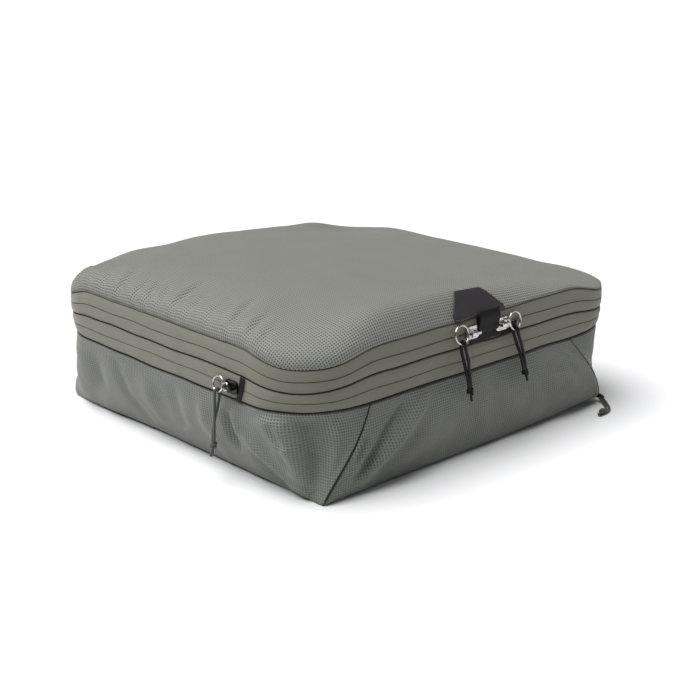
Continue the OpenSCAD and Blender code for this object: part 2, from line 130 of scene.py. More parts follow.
# Each seam line: height at the corners, rise in the middle of a side, how far out it stands.
LOWER = np.array([64.8, -1.4, -0.5])
COMPRESSION = np.array([72.05, 1.6, 1.0])
MIDDLE = np.array([79.3, 4.6, 1.6])
MAIN = np.array([87.25, 6.55, 2.2])
TOP = np.array([95.2, 8.5, 2.1])

FRONT_LEN = 2 * (HALF_W - CORNER_R)
SIDE_LEN = 2 * (HALF_D - CORNER_R)
ARC_LEN = math.pi / 2 * CORNER_R
PERIMETER = 2 * (FRONT_LEN + SIDE_LEN) + 4 * ARC_LEN


def outline(distance):
    """Plan points x, y and outward x, y at distances anticlockwise from the front's left end."""
    distance = np.mod(np.asarray(distance, float), PERIMETER)
    result = np.zeros((len(distance), 4))
    start = 0.0
    corner_x, corner_y = HALF_W - CORNER_R, HALF_D - CORNER_R
    for side in range(4):
        angle = math.radians(-90 + 90 * side)
        out = np.array([math.cos(angle), math.sin(angle)])
        along = np.array([-out[1], out[0]])
        length = FRONT_LEN if side % 2 == 0 else SIDE_LEN
        reach = HALF_D if side % 2 == 0 else HALF_W
        local = distance - start
        on_line = (local >= 0) & (local < length)
        t = local[on_line, None] - length / 2
        result[on_line] = np.hstack([out * reach + along * t, np.repeat(out[None], on_line.sum(), 0)])
        start += length
        local = distance - start
        on_arc = (local >= 0) & (local < ARC_LEN)
        turn = angle + local[on_arc] / CORNER_R
        centre = np.array([corner_x, corner_y]) * np.sign(out + along)
        arc_out = np.stack([np.cos(turn), np.sin(turn)], 1)
        result[on_arc] = np.hstack([centre + CORNER_R * arc_out, arc_out])
        start += ARC_LEN
    return result


def ramp(u, level):
    wave = 0.5 + 0.5 * np.cos(math.pi * np.clip((u - level) / (1 - level), 0, 1))
    return np.where(u < level, 1.0, wave)


def rise_share(x, y):
    """How much of a seam's rise shows at a plan point."""
    side = ramp(np.abs(x) / (HALF_W - 0.3 * CORNER_R), SIDE_LEVEL) * np.where(y < 0, FRONT_BOW, BACK_BOW)
    end = ramp(np.abs(y) / (HALF_D - 0.3 * CORNER_R), END_LEVEL) * np.where(x < 0, LEFT_BOW, RIGHT_BOW)
    side = np.where(np.abs(y) > HALF_D - CORNER_R - 0.01, side, 0)
    end = np.where(np.abs(x) > HALF_W - CORNER_R - 0.01, end, 0)
    return np.maximum(side, end)


def wander(plan, height):
    """How far a sewn line strays from its straight run, in millimetres."""
    return np.array([0.9 * noise.noise(Vector((x / 31, y / 31, height / 9))) for x, y in plan[:, :2]])


def seam_points(distance, line, lift=0.0, out=0.0):
    """Points of a seam line, in millimetres, moved up and out."""
    plan = outline(distance)
    push = line[2] + out
    z = line[0] + lift + line[1] * rise_share(plan[:, 0], plan[:, 1]) + wander(plan, line[0])
    return np.column_stack([plan[:, 0] + plan[:, 2] * push, plan[:, 1] + plan[:, 3] * push, z])


def outward(distance):
    """Unit vectors that point straight out of the cube's side."""
    return np.column_stack([outline(distance)[:, 2:], np.zeros(len(distance))])


def unit(vectors):
    return vectors / np.linalg.norm(vectors, axis=-1, keepdims=True)


def mix(a, b, t):
    return a + (b - a) * t


def around(step=2.6):
    """Distances round the whole cube, without the closing one."""
    return np.arange(0, PERIMETER, PERIMETER / round(PERIMETER / step))


def between(first, last, step=2.6):
    return np.linspace(first, last, max(2, round((last - first) / step) + 1))


def front_at(x):
    """Distance along the outline of a point of the front."""
    return x + FRONT_LEN / 2


BACK_START = FRONT_LEN + SIDE_LEN + 2 * ARC_LEN


def back_at(x):
    """Distance along the outline of a point of the back."""
    return BACK_START + FRONT_LEN / 2 - x


# ---- meshes


def mesh_piece(name, points, faces, uvs=None, smooth=True):
    """A mesh object from points in millimetres; uvs are millimetres too, one a point."""
    mesh = bpy.data.meshes.new(name)
    mesh.from_pydata((np.asarray(points) * MM).tolist(), [], faces)
    if uvs is not None:
        layer = mesh.uv_layers.new(name="cloth")
        corners = np.empty(len(mesh.loops), int)
        mesh.loops.foreach_get("vertex_index", corners)
        layer.data.foreach_set("uv", (np.asarray(uvs) * MM)[corners].ravel())
    if smooth:
        mesh.polygons.foreach_set("use_smooth", [True] * len(mesh.polygons))
    mesh.validate()
    return new_object(name, mesh)


def grid_faces(rows, columns, wrap_columns=False, wrap_rows=False):
    """Quads of a grid whose points are stored row by row."""
    faces = []
    for r in range(rows if wrap_rows else rows - 1):
        for c in range(columns if wrap_columns else columns - 1):
            a = r * columns + c
            b = r * columns + (c + 1) % columns
            up = ((r + 1) % rows) * columns
            faces.append((a, b, up + (c + 1) % columns, up + c))
    return faces


def swept(name, sections, closed, lengths, widths):
    """A closed profile swept along sections (n, m, 3), capped where the sweep is open."""
    n, m, _ = sections.shape
    faces = [tuple(reversed(face)) for face in grid_faces(n, m, wrap_columns=True, wrap_rows=closed)]
    if not closed:
        faces.append(tuple(range(m)))
        faces.append(tuple(reversed(range((n - 1) * m, n * m))))
    uvs = np.stack(np.meshgrid(lengths, widths, indexing="ij"), -1).reshape(-1, 2)
    return mesh_piece(name, sections.reshape(-1, 3), faces, uvs)


def band_sections(distance, low, high, profile, inner):
    """Profile points between two lines: outside (share, out) going up, then the inside coming down."""
    low_points = seam_points(distance, low[0], low[1])
    high_points = seam_points(distance, high[0], high[1])
    out = outward(distance)
    columns = [mix(low_points, high_points, t) + out * push for t, push in profile + inner]
    return np.stack(columns, 1)


def finish(piece, body, node, materials, thickness=None):
    """Materials, body and CAD node of a piece; a fabric's thickness has the last material inside."""
    for material in materials:
        piece.data.materials.append(material)
    if thickness:
        solid = piece.modifiers.new("thickness", "SOLIDIFY")
        solid.thickness = thickness * MM
        solid.offset = -1
        solid.material_offset = len(materials) - 1
        solid.use_even_offset = False
    if body:
        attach(piece, body)
    if node:
        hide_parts(node)


# ---- materials


def node_material(name):
    """A new material and the short ways to add nodes to it."""
    material = bpy.data.materials.new(name)
    material.use_nodes = True
    return material, Nodes(material.node_tree)


def shade(colour, factor):
    return tuple(factor * c for c in colour)


def between_colours(first, second, share):
    return tuple((1 - share) * a + share * b for a, b in zip(first, second))


class Nodes:
    """Short ways to add nodes to one material, whose shader takes their outputs."""

    def __init__(self, tree):
        self.tree = tree
        self.inputs = tree.nodes["Principled BSDF"].inputs

    def paint(self, colour):
        self.link(colour, self.inputs["Base Color"])

    def set(self, **values):
        """Values of the shader's inputs, with _ for a space in their names."""
        for key, value in values.items():
            self.inputs[key.replace("_", " ")].default_value = value

    def add(self, kind, **settings):
        node = self.tree.nodes.new(kind)
        for key, value in settings.items():
            setattr(node, key, value)
        return node

    def link(self, source, target):
        self.tree.links.new(source, target)

    def math(self, operation, first, second=None):
        node = self.add("ShaderNodeMath", operation=operation)
        for socket, value in zip(node.inputs, (first, second)):
            if isinstance(value, (int, float)):
                socket.default_value = value
            elif value is not None:
                self.link(value, socket)
        return node.outputs[0]

    def times(self, first, second):
        return self.math("MULTIPLY", first, second)

    def between(self, value, low, high, to_low=0.0, to_high=1.0):
        node = self.add("ShaderNodeMapRange", interpolation_type="SMOOTHSTEP")
        self.link(value, node.inputs["Value"])
        for key, number in zip(("From Min", "From Max", "To Min", "To Max"), (low, high, to_low, to_high)):
            node.inputs[key].default_value = number
        return node.outputs["Result"]

    def noise(self, vector, scale, detail=2.0):
        node = self.add("ShaderNodeTexNoise")
        node.inputs["Scale"].default_value = scale
        node.inputs["Detail"].default_value = detail
        self.link(vector, node.inputs["Vector"])
        return node.outputs["Fac"]

    def blend(self, share, first, second):
        """Mixes two colours, each an output or a tuple, by a share."""
        node = self.add("ShaderNodeMix", data_type="RGBA")
        self.link(share, node.inputs[0])
        for socket, value in ((node.inputs[6], first), (node.inputs[7], second)):
            if isinstance(value, tuple):
                socket.default_value = (*value, 1)
            else:
                self.link(value, socket)
        return node.outputs[2]

    def bump(self, height, distance):
        """Relief on the surface: heights of 1 stand out by a distance in metres."""
        node = self.add("ShaderNodeBump")
        node.inputs["Distance"].default_value = distance
        node.inputs["Strength"].default_value = 1.0
        self.link(height, node.inputs["Height"])
        self.link(node.outputs["Normal"], self.inputs["Normal"])

    def mottled(self, vector, scale):
        """Slow patches, from 0 to 1."""
        return self.between(self.noise(vector, scale, 4.0), 0.3, 0.7)

    def thread(self, value, pitch):
        """0 between threads and 1 on them, for a coordinate in metres."""
        cells = self.times(value, 1 / pitch)
        return self.times(self.math("PINGPONG", cells, 0.5), 2.0)


def cloth_axes(nodes):
    """The piece's cloth coordinates, in metres, as two outputs and a vector."""
    coordinates = nodes.add("ShaderNodeUVMap", uv_map="cloth").outputs["UV"]
    split = nodes.add("ShaderNodeSeparateXYZ")
    nodes.link(coordinates, split.inputs[0])
    return split.outputs["X"], split.outputs["Y"], coordinates


def ripstop(name, yarn, gap, pitch=0.0021, sheen=0.2, plain_middle=False):
    """Mini-ripstop: a raised light grid over darker cells; it can fade to plain in a panel's middle."""
    material, nodes = node_material(name)
    across, along, coordinates = cloth_axes(nodes)
    grid_u = nodes.between(nodes.thread(across, pitch), 0.3, 0.85)
    grid_v = nodes.between(nodes.thread(along, pitch * 0.94), 0.3, 0.85)
    grid = nodes.math("MAXIMUM", grid_u, grid_v)
    crossing = nodes.times(grid_u, grid_v)
    fine = nodes.times(nodes.thread(across, pitch / 5), nodes.thread(along, pitch / 5))
    patches = nodes.between(nodes.noise(coordinates, 24.0, 3.0), 0.38, 0.66)
    fibres = nodes.noise(coordinates, 1500.0, 1.0)
    light = nodes.blend(fibres, shade(yarn, 0.86), shade(yarn, 1.12))
    dark = nodes.blend(fine, gap, between_colours(gap, yarn, 0.25))
    soft = nodes.blend(patches, dark, between_colours(gap, yarn, 0.5))
    if plain_middle:
        left = nodes.between(across, -0.04, -0.11)
        front = nodes.between(along, -0.06, -0.13)
        bold = nodes.math("MAXIMUM", left, front)
        soft = nodes.blend(bold, between_colours(gap, yarn, 0.64), dark)
        light = nodes.blend(bold, light, shade(yarn, 1.2))
    nodes.paint(nodes.blend(grid, soft, light))
    nodes.set(Roughness=0.62, Sheen_Weight=sheen, Sheen_Roughness=0.4)
    height = nodes.math("ADD", nodes.math("ADD", grid, crossing), nodes.times(fine, 0.4))
    nodes.bump(height, 0.00016)
    return material


def plain_weave(name, colour, pitch=0.0006, rough=0.75, contrast=0.25, sheen=0.15, shine=0.5):
    """A plain fabric: cross threads, fibre noise and slow colour variation."""
    material, nodes = node_material(name)
    across, along, coordinates = cloth_axes(nodes)
    warp = nodes.thread(across, pitch)
    weft = nodes.thread(along, pitch)
    weave = nodes.times(warp, weft)
    mottle = nodes.mottled(coordinates, 60.0)
    base = nodes.blend(weave, shade(colour, 1 - contrast), shade(colour, 1 + contrast))
    nodes.paint(nodes.blend(nodes.times(mottle, 0.35), base, shade(colour, 0.85)))
    nodes.set(Roughness=rough, Specular_IOR_Level=shine, Sheen_Weight=sheen)
    height = nodes.math("ADD", weave, nodes.times(nodes.noise(coordinates, 2500.0), 0.5))
    nodes.bump(height, 0.00006)
    return material


def herringbone(name, colour, pitch=0.0011, chevron=0.004):
    """Zip tape: slanted ribs that turn back on themselves."""
    material, nodes = node_material(name)
    across, along, coordinates = cloth_axes(nodes)
    zigzag = nodes.math("PINGPONG", along, chevron)
    slant = nodes.math("ADD", across, zigzag)
    ribs = nodes.thread(slant, pitch)
    mottle = nodes.mottled(coordinates, 45.0)
    base = nodes.blend(ribs, shade(colour, 0.86), shade(colour, 1.08))
    nodes.paint(nodes.blend(nodes.times(mottle, 0.4), base, shade(colour, 0.88)))
    nodes.set(Roughness=0.72, Sheen_Weight=0.2)
    height = nodes.math("ADD", ribs, nodes.times(nodes.noise(coordinates, 2200.0), 0.6))
    nodes.bump(height, 0.00005)
    return material


def solid_material(name, colour, rough, metal=0.0, grain=400.0, bump=0.00002, wear=None):
    """A hard or moulded surface with fine grain and a little colour variation in object space."""
    material, nodes = node_material(name)
    place = nodes.add("ShaderNodeTexCoord").outputs["Object"]
    nodes.paint(nodes.blend(nodes.mottled(place, grain), colour, wear or shade(colour, 0.8)))
    nodes.link(nodes.between(nodes.noise(place, grain * 1.7, 3.0), 0.2, 0.8, rough - 0.08, rough + 0.12),
               nodes.inputs["Roughness"])
    nodes.set(Metallic=metal)
    nodes.bump(nodes.noise(place, grain * 4), bump)
    return material


# The sides' copy of the ripstop has its yarn and gaps painted about 7% darker than the lid's: painted shade
# on the same cloth.
shaded_sage_cloth = ripstop("sage_ripstop_painted_shade", yarn=(0.174, 0.180, 0.157), gap=(0.044, 0.047, 0.041))
lid_cloth = ripstop("lid_ripstop", yarn=(0.188, 0.193, 0.167), gap=(0.046, 0.049, 0.043), sheen=0.08,
                    plain_middle=True)
lining = plain_weave("grey_lining", (0.20, 0.21, 0.18), rough=0.6)
tape_cloth = herringbone("zip_tape", (0.158, 0.154, 0.117))
# Near-black: the black wrap at the corner loop's anchor, and painted shade in the seams' grooves.
thread_and_seam_shade_cloth = plain_weave("seam_thread", (0.022, 0.023, 0.018), 0.0009, contrast=0.4, sheen=0.0,
                         shine=0.15)
coil_plastic = solid_material("zip_coil", (0.06, 0.062, 0.05), 0.42)
black_webbing = plain_weave("black_webbing", (0.0065, 0.006, 0.0068), 0.0009, rough=0.6, contrast=0.5,
                            sheen=0.0, shine=0.2)
black_patch = solid_material("black_patch", (0.0195, 0.0165, 0.0200), 0.55, grain=900, bump=0.00004)
bright_steel = solid_material("bright_steel", (0.62, 0.61, 0.59), 0.24, metal=1.0, wear=(0.36, 0.35, 0.34))
dark_steel = solid_material("dark_steel", (0.020, 0.019, 0.020), 0.30, metal=1.0,
                            wear=(0.055, 0.052, 0.052))
dark_cord = plain_weave("dark_cord", (0.0045, 0.0045, 0.0048), rough=0.38, contrast=0.6, sheen=0.0,
                        shine=0.25)
sage_cord = plain_weave("sage_cord", (0.058, 0.060, 0.046), rough=0.65, contrast=0.45)

# ---- cords


def smooth_route(route, step):
    """Points on a smooth curve through the route's points, about a step apart, in millimetres."""
    points = [Vector(p) for p in route]
    ends = [points[0] * 2 - points[1]] + points + [points[-1] * 2 - points[-2]]
    result = []
    for a, b, c, d in zip(ends, ends[1:], ends[2:], ends[3:]):
        count = max(2, round((c - b).length / step))
        for k in range(count):
            t = k / count
            result.append(0.5 * (2 * b + (c - a) * t + (2 * a - 5 * b + 4 * c - d) * t ** 2
                                 + (3 * b - a - 3 * c + d) * t ** 3))
    result.append(points[-1])
    return result


def tube(name, path, radius, sides, relief=None, tip=0.35):
    """A round tube along a path in millimetres; relief(distance, angle) changes its radius."""
    last = len(path) - 1
    tangents = [(path[min(i + 1, last)] - path[max(i - 1, 0)]).normalized() for i in range(last + 1)]
    side = tangents[0].orthogonal().normalized()
    points, uvs, distance = [], [], 0.0
    for i, (centre, tangent) in enumerate(zip(path, tangents)):
        if i:
            distance += (centre - path[i - 1]).length
        side = (side - tangent * side.dot(tangent)).normalized()
        up = tangent.cross(side)
        end = tip if i in (0, last) else 1.0
        for k in range(sides):
            angle = 2 * math.pi * k / sides
            r = radius * end * (1 + (relief(distance, angle) if relief else 0))
            points.append(centre + (side * math.cos(angle) + up * math.sin(angle)) * r)
            uvs.append((distance, angle * radius))
    faces = grid_faces(len(path), sides, wrap_columns=True)
    faces.append(tuple(reversed(range(sides))))
    faces.append(tuple(range(last * sides, (last + 1) * sides)))
    return mesh_piece(name, [tuple(p) for p in points], faces, uvs)


BRAID_PITCH = 1.7
BRAID_RELIEF = 0.085


def braid(distance, angle):
    """The crossing strands of a braided cord."""
    turn = distance / BRAID_PITCH * 2 * math.pi
    return BRAID_RELIEF * (max(math.cos(3 * angle + turn), math.cos(3 * angle - turn)) - 0.6)


CORD_D = 2.0
PULL_CORD_D = 2.4                # the two dark cords are thicker
main_left_route = [
    (-20.2, -162, 55), (-20.6, -161.8, 59), (-21.5, -161.2, 64), (-22.4, -160.2, 70),
    (-23.2, -159, 76), (-23.9, -157.9, 81), (-24.2, -157.4, 85.5), (-24.26, -157.3, 88.6),
    (-24.26, -157.9, 90), (-24.26, -159.3, 90.6), (-24.26, -160.75, 90), (-24.26, -161.3, 88.6),
    (-24.1, -161.5, 85.5), (-23, -161.9, 81), (-21.6, -162.1, 76), (-20.7, -162.1, 70),
    (-19.6, -162.1, 64), (-18.6, -162, 59), (-18.1, -162, 55)]
main_right_route = [
    (40, -161.4, 55), (39.2, -161.2, 59), (38, -160.6, 64), (36.4, -159.6, 70),
    (34.9, -158.2, 76), (33.8, -156.9, 81), (33.35, -156.35, 84.5), (33.31, -156.3, 87.2),
    (33.31, -156.9, 88.6), (33.31, -158.3, 89.2), (33.31, -159.75, 88.6), (33.31, -160.3, 87.2),
    (33.5, -160.55, 84.5), (34.5, -161, 81), (36.4, -161.4, 76), (38.3, -161.5, 70),
    (40.1, -161.5, 64), (41.4, -161.4, 59), (42.2, -161.4, 55)]
compression_route = [
    (-177, -66.9, 30), (-177, -67.5, 35), (-176.7, -68.3, 41), (-176.2, -69.4, 47),
    (-175.4, -70.8, 53), (-174.7, -72.1, 59), (-174.2, -72.9, 64), (-174.12, -73.1, 68.37),
    (-174.7, -73.1, 69.8), (-176.12, -73.1, 70.4), (-177.55, -73.1, 69.8), (-178.12, -73.1, 68.37),
    (-178.4, -73.1, 64), (-178.4, -72.9, 59), (-178.2, -72.3, 53), (-178, -71.4, 47),
    (-177.8, -70.6, 41), (-177.4, -69.8, 35), (-177.2, -69.1, 30)]
loop_route = [
    (149.4, -152, 4), (149.1, -154.9, 3), (147.7, -158, 2), (145.5, -161.4, 1.4),
    (142.9, -164.7, 1.2), (139.8, -167.8, 1.2), (135.9, -170.4, 1.4), (131.4, -172, 1.8),
    (127.2, -172.6, 2.2), (124.9, -171.4, 2.4), (126.9, -170, 2.2), (130.7, -169.6, 1.8),
    (134.6, -168.3, 1.4), (138, -166, 1.2), (140.9, -163.1, 1.2), (143.4, -160.1, 1.4),
    (145.4, -157, 2), (146.7, -154.6, 3), (147, -152, 4)]


KNOT_WRAPS = 2.4
KNOT_REACH = 1.75                # from a knot's axis to the middle of the strand round it
STRAND_R = 0.95


def knot(name, centre, along, out, tails, spread, tail_length, lean=0.0):
    """Two wraps and a bit of the cord round its own strands, then its cut tails."""
    along, out = Vector(along).normalized(), Vector(out).normalized()
    across = along.cross(out)
    centre = Vector(centre)
    steps = 60
    path = []
    for k in range(steps + 1):
        t = k / steps
        turn = 2 * math.pi * KNOT_WRAPS * t
        ring = (out * math.cos(turn) + across * math.sin(turn)) * KNOT_REACH
        path.append(centre + ring + along * mix(-1.9, 2.1, t))
    body = [tube(name + "_wrap", path, STRAND_R, 12, braid)]
    for sign in (1, -1)[:tails]:
        first = centre + out * (sign * 0.7)
        tail = []
        for t in np.linspace(-0.1, 1, 14):
            aside = spread * sign * t + lean * tail_length * t * t
            tail.append(first + along * (tail_length * t) + across * aside)
        body.append(tube(name + "_tail", tail, STRAND_R, 12, braid))
    return join(name, body)


def join(name, pieces):
    """One mesh object from several, keeping their cloth coordinates."""
    bpy.ops.object.select_all(action="DESELECT")
    for piece in pieces:
        piece.select_set(True)
    bpy.context.view_layer.objects.active = pieces[0]
    if len(pieces) > 1:
        bpy.ops.object.join()
    pieces[0].name = name
    pieces[0].data.name = name
    return pieces[0]


def pull_cord(name, route, diameter, material, body, nodes, knot_piece):
    """A cord and its knot on their body, standing for two CAD nodes."""
    path = smooth_route(route, 0.35)
    piece = tube(name, path, diameter / 2, 18, braid)
    finish(piece, body, nodes[0], [material])
    finish(knot_piece, body, nodes[1], [material])


pull_cord("left_pull_cord", main_left_route, PULL_CORD_D, dark_cord, "cord_left",
          ("main_cord_left", "main_knot_left"),
          knot("left_pull_knot", (-19.15, -162, 52.8), (0.12, 0, -1), (1, 0, 0), 1, 0.5, 8))
pull_cord("right_pull_cord", main_right_route, PULL_CORD_D, dark_cord, "cord_right",
          ("main_cord_right", "main_knot_right"),
          knot("right_pull_knot", (41.6, -161.4, 52.8), (0.25, 0, -1), (1, 0, 0), 1, 0.5, 7.5))
pull_cord("compression_pull_cord", compression_route, CORD_D, sage_cord, "cord_compression",
          ("compression_cord", "compression_knot"),
          knot("compression_pull_knot", (-177.1, -68, 27.7), (0, 0.35, -1), (0, 1, 0), 2, 1.6, 9.5, 0.05))
pull_cord("corner_tie_loop", loop_route, CORD_D, sage_cord, "base",
          ("corner_loop", "corner_loop_knot"),
          knot("corner_tie_knot", (126.4, -171.3, 2.6), (-1, -0.2, 0), (0, 1, 0), 2, 0.8, 6.5))

# ---- creases and slack in the fabric


def slack(x, y, z, scale, amount):
    """Slow unevenness of soft fabric at each point, in millimetres."""
    places = np.column_stack([x, y, np.full_like(x, z)])
    return np.array([amount * noise.noise(Vector(place) / scale) for place in places])


def swells(x, y, places):
    """The sum of soft bumps, each given by its x, y, reach and height."""
    return sum(height * np.exp(-(np.hypot(x - cx, y - cy) / reach) ** 2)
               for cx, cy, reach, height in places)


def crease(u, v, route, height, width, fade=3.0):
    """A ridge (or a furrow, with a negative height) along a route in panel coordinates."""
    route = np.array(route, float)
    lengths = np.r_[0, np.cumsum(np.hypot(*np.diff(route, axis=0).T))]
    nearest = np.full(np.shape(u), np.inf)
    place = np.zeros(np.shape(u))
    for first, last, start, end in zip(route, route[1:], lengths, lengths[1:]):
        along = last - first
        t = np.clip(((u - first[0]) * along[0] + (v - first[1]) * along[1]) / along.dot(along), 0, 1)
        away = np.hypot(u - first[0] - t * along[0], v - first[1] - t * along[1])
        place = np.where(away < nearest, (start + t * (end - start)) / lengths[-1], place)
        nearest = np.minimum(nearest, away)
    taper = np.clip(1 - np.abs(2 * place - 1) ** fade, 0, 1)
    return height * taper * np.exp(-(nearest / width) ** 2)


# ---- zip tapes, coils and seams

PIPING_HALF = 1.0
ZIP_GAP = 1.2
COIL_H = 2.2
TOOTH_PITCH = 2.2
# Half the visible gap at each sewn or zipped line.
TOP_GAP = 0.32
MIDDLE_GAP = 0.45
LOWER_GAP = 0.5
MAIN_GAP = 0.16
COMPRESSION_GAP = 0.08


def tape(name, low, high, body, span=None):
    """Half a zip's tape: rounded edges, a soft belly, and a sewn channel beside its seam."""
    distance = around() if span is None else between(*span)
    zip_is_high = high[0] is COMPRESSION or high[0] is MAIN
    shares = np.array([0, 0.02, 0.06, 0.12, 0.2, 0.3, 0.42, 0.55, 0.66, 0.74, 0.8, 0.86, 0.92, 0.97, 1.0])
    from_zip = 1 - shares if zip_is_high else shares
    belly = 0.5 * np.sin(math.pi * np.clip(from_zip, 0, 1)) ** 0.8
    channel = -0.35 * np.exp(-((from_zip - 0.78) / 0.035) ** 2)
    zip_edge = -0.3 * np.exp(-from_zip / 0.02) + 0.28 * np.exp(-((from_zip - 0.06) / 0.05) ** 2)
    seam_edge = -0.8 * np.exp(-(1 - from_zip) / 0.05)
    profile = list(zip(shares, belly + channel + zip_edge + seam_edge))
    inner = [(1.0, -1.3), (0.75, -1.0), (0.25, -1.0), (0.0, -1.0 if not zip_is_high else -1.3)]
    sections = band_sections(distance, low, high, profile, inner)
    middle = sections[:, 6].T
    wave = slack(*middle, 34, 0.55) + slack(*middle, 11, 0.18)
    hold = np.clip(np.sin(math.pi * np.append(shares, [1.0, 1.0, 0.0, 0.0])), 0, 1)
    sections = sections + (wave[:, None] * hold)[:, :, None] * outward(distance)[:, None, :]
    piece = swept(name, sections, span is None, distance, section_widths(sections))
    finish(piece, body, name.replace("zip", "tape"), [tape_cloth])


def section_widths(sections):
    """Distances round the first section, for its cloth coordinates."""
    return np.cumsum(np.r_[0, np.linalg.norm(np.diff(sections[0], axis=0), axis=1)])


def ring_sections(middle, distance, angles, radius_out, radius_up):
    """Oval sections about the points of a line round the cube."""
    out = outward(distance)
    up = np.array([0, 0, 1.0])
    return np.stack([middle + out * (math.cos(a) * radius_out) + up * (math.sin(a) * radius_up)
                     for a in angles], 1)


def coil(name, line, side, body, span=None):
    """Half a zip's coil: a row of teeth inside its tape, above (side 1) or below (side -1) the zip line."""
    distance = around(0.55) if span is None else between(*span, 0.55)
    phase = np.cos(2 * math.pi * distance / TOOTH_PITCH)[:, None] * 0.5 + 0.5
    angles = np.linspace(0, 2 * math.pi, 9)[:-1]
    middle = seam_points(distance, line, side * (ZIP_GAP + COIL_H) / 2, -2.1)
    sections = ring_sections(middle, distance, angles, mix(0.55, 0.98, phase), mix(0.7, 1.1, phase))
    piece = swept(name, sections, span is None, distance, angles)
    finish(piece, body, name.replace("teeth", "coil"), [coil_plastic])


def seam_cord(name, line, body, radius, out_by):
    """A sunk seam: the rolled edge between two fabrics, painted near-black for the shade in its groove."""
    distance = around(2.0)
    angles = np.linspace(0, 2 * math.pi, 13)[:-1]
    pucker = (1 + 0.1 * np.cos(2 * math.pi * distance / 3.0))[:, None]
    middle = seam_points(distance, line, 0, out_by)
    sections = ring_sections(middle, distance, angles, radius * pucker, radius)
    piece = swept(name, sections, True, distance, angles)
    finish(piece, body, name + "_piping", [thread_and_seam_shade_cloth])


HINGE_HALF = 94.0
zip_span = (back_at(-HINGE_HALF), back_at(HINGE_HALF) + PERIMETER)
tape("compression_zip_lower", (LOWER, LOWER_GAP), (COMPRESSION, -COMPRESSION_GAP), "base")
tape("compression_zip_upper", (COMPRESSION, COMPRESSION_GAP), (MIDDLE, -MIDDLE_GAP), "band")
tape("main_zip_lower", (MIDDLE, MIDDLE_GAP), (MAIN, -MAIN_GAP), "band", zip_span)
tape("main_zip_upper", (MAIN, MAIN_GAP), (TOP, -TOP_GAP), "lid", zip_span)
coil("compression_teeth_lower", COMPRESSION, -1, "base")
coil("compression_teeth_upper", COMPRESSION, 1, "band")
coil("main_teeth_lower", MAIN, -1, "band", zip_span)
coil("main_teeth_upper", MAIN, 1, "lid", zip_span)
seam_cord("lower_seam", LOWER, "base", 0.85, -1.0)
seam_cord("middle_seam", MIDDLE, "band", 0.8, -1.0)
seam_cord("top_seam", TOP, "lid", 0.7, -1.1)

# ---- walls and base

WALL_ROWS = 44
WALL_H = 64                     # height of the creases' coordinates
WALL_CLOTH_H = 68               # the cloth's own height, along the curve
CLOTH_T = 0.8
FOOT_TUCK = 1.6
# Base corners that stand out, and the one that lifts off the floor: x, y, reach and how far.
CORNER_FULLNESS = ((-BASE_X, BASE_Y, 75, 11.0), (BASE_X, -BASE_Y, 45, 0.8), (BASE_X, BASE_Y, 60, 4.0))
CORNER_RISE = ((BASE_X, -BASE_Y, 60, 4.0),)


def low_share(t):
    """Where up a wall the corner fullness shows: most of it low down."""
    return (0.55 + 0.45 * min(t / 0.18, 1)) * (1 - t) ** 1.1


def foot_tuck(t):
    """How far the lower edge of a wall turns in."""
    return FOOT_TUCK * max(0, 1 - t / 0.06) ** 2


def wall(name, node, span, corners, creases, pinches=(), rises=()):
    """A side of the bag, from its rounded lower edge up to the lower seam."""
    distance = between(*span, 1.6)
    length = span[1] - span[0]
    share = (distance - span[0]) / length
    base_len = math.dist(*corners)
    base = mix(np.array(corners[0], float), np.array(corners[1], float), share[:, None])
    top = seam_points(distance, LOWER, -LOWER_GAP)
    top_dir = outline(distance)[:, 2:]
    base_dir = unit(np.column_stack([(base[:, 0] / BASE_X) ** 5, (base[:, 1] / BASE_Y) ** 5]))
    u = share * length
    from_end = np.minimum(share, 1 - share) * length
    edge = np.clip(from_end / 2.2, 0, 1)
    inner = np.clip(from_end / 14, 0, 1)
    rows, uvs = [], []
    for r in range(WALL_ROWS):
        t = (r / (WALL_ROWS - 1)) ** 0.92
        direction = unit(mix(base_dir, top_dir, t))
        flat = mix(base, top[:, :2], t)
        x, y = flat.T
        v = np.full_like(u, t * WALL_H)
        folds = sum(crease(u, v, *c) for c in creases)
        pinch = sum(crease(u, v, *c) for c in pinches)
        soft = slack(x, y, WALL_H * t, 38, 2.2) + slack(x, y, WALL_H * t, 15, 0.7)
        push = WALL_BULGE * math.sin(math.pi * t) + swells(x, y, CORNER_FULLNESS) * low_share(t)
        free = min((1 - t) / 0.1, 0.3 + t / 0.12, 1)
        push = push + (folds * free + soft * math.sin(math.pi * min(t * 1.1, 1)) ** 0.6) * inner
        push = push + pinch * edge - 0.6 * (1 - edge) - 0.8 * math.exp(-(1 - t) / 0.012)
        push = push - foot_tuck(t)
        z = mix(0.4, top[:, 2], t) + swells(x, y, rises) * (1 - t) ** 1.5
        rows.append(np.column_stack([flat + direction * push.reshape(-1, 1), z]))
        across = (share - 0.5) * mix(base_len, length, t)
        uvs.append(np.column_stack([across, np.full_like(u, WALL_CLOTH_H * t)]))
    piece = mesh_piece(name, np.vstack(rows), grid_faces(WALL_ROWS, len(distance)), np.vstack(uvs))
    finish(piece, "base", node, [shaded_sage_cloth, lining], CLOTH_T)


